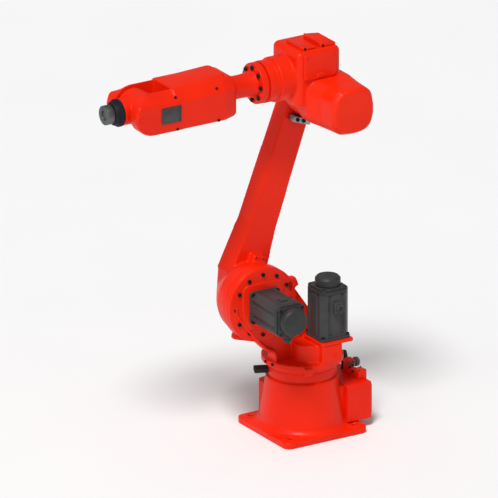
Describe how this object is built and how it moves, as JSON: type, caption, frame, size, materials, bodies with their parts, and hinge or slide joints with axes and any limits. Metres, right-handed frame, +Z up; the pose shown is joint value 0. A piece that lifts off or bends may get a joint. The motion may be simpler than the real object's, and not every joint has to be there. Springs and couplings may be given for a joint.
{
  "type": "six-axis industrial robot arm",
  "caption": "Floor-mounted industrial robot arm with a turning base, a leaning upper arm, an elbow, a rotating forearm, a tilting wrist and a tool flange.",
  "frame": {"origin": "centre of the base plate's underside, on the first axis, at floor level", "axes": "+Z up along the first axis, +X the way the forearm points at rest, +Y the robot's left, the side of the motors"},
  "size_m": [1.1942, 0.497, 1.6686],
  "materials": {
    "robot_paint": "satin red-orange enamel over cast metal",
    "motor_black": "matt dark grey paint on aluminium",
    "encoder_black": "matt moulded cover",
    "gland_black": "matt moulded nylon",
    "stop_rubber": "dull black rubber",
    "bare_aluminium": "machined",
    "plate_grey": "brushed blank plate",
    "seal_black": "ribbed black seal ring",
    "tool_steel": "turned and oiled steel"
  },
  "bodies": {
    "base": {"base_plate": "robot_paint", "base_casting": "robot_paint", "base_side_cover": "robot_paint", "connector_panel": "robot_paint", "connector_box": "robot_paint", "brake_release_box": "robot_paint", "air_manifold": "robot_paint", "cable_gland": "gland_black", "air_coupling": "gland_black", "waist_reducer": "robot_paint", "waist_stop": "stop_rubber"},
    "turntable": {"turntable_casting": "robot_paint", "shoulder_flange": "robot_paint", "shoulder_motor_pad": "robot_paint", "shoulder_stop_lug": "robot_paint", "waist_stop_lug": "robot_paint", "shoulder_motor": "motor_black", "shoulder_motor_encoder": "encoder_black", "shoulder_motor_plug": "encoder_black", "waist_motor_plate": "robot_paint", "waist_motor": "motor_black", "waist_motor_encoder": "encoder_black", "waist_motor_plug": "encoder_black"},
    "upper_arm": {"upper_arm_casting": "robot_paint", "upper_arm_stop": "robot_paint", "elbow_buffer": "bare_aluminium"},
    "elbow": {"elbow_casting": "robot_paint", "elbow_motor_cover": "robot_paint", "elbow_side_cover": "robot_paint", "elbow_cap_rear": "robot_paint", "elbow_cap_front": "robot_paint", "forearm_bearing_ring": "robot_paint"},
    "forearm": {"forearm_flange": "robot_paint", "forearm_neck": "robot_paint", "forearm_box": "robot_paint", "fork_arm_left": "robot_paint", "fork_arm_right": "robot_paint", "fork_cover_left": "robot_paint", "fork_cover_right": "robot_paint", "forearm_hump": "robot_paint", "blank_plate": "plate_grey"},
    "wrist": {"wrist_casting": "robot_paint", "wrist_seal": "seal_black"},
    "tool": {"tool_flange": "tool_steel"}
  },
  "joints": [
    {"name": "waist_turn", "type": "hinge", "parent": "base", "child": "turntable", "pos_m": [0, 0, 0], "axis": [0, 0, 1], "range_deg": [-170, 170]},
    {"name": "shoulder_swing", "type": "hinge", "parent": "turntable", "child": "upper_arm", "pos_m": [0.211, 0, 0.58], "axis": [0, 1, 0], "range_deg": [-40, 100]},
    {"name": "elbow_swing", "type": "hinge", "parent": "upper_arm", "child": "elbow", "pos_m": [-0.08084, 0, 1.39959], "axis": [0, -1, 0], "range_deg": [-45, 140]},
    {"name": "forearm_roll", "type": "hinge", "parent": "elbow", "child": "forearm", "pos_m": [-0.08084, 0, 1.51659], "axis": [1, 0, 0], "range_deg": [-180, 180]},
    {"name": "wrist_tilt", "type": "hinge", "parent": "forearm", "child": "wrist", "pos_m": [0.76716, 0, 1.51659], "axis": [0, -1, 0], "range_deg": [-115, 115]},
    {"name": "tool_turn", "type": "hinge", "parent": "wrist", "child": "tool", "pos_m": [0.76716, 0, 1.51659], "axis": [1, 0, 0], "range_deg": [-360, 360]}
  ]
}
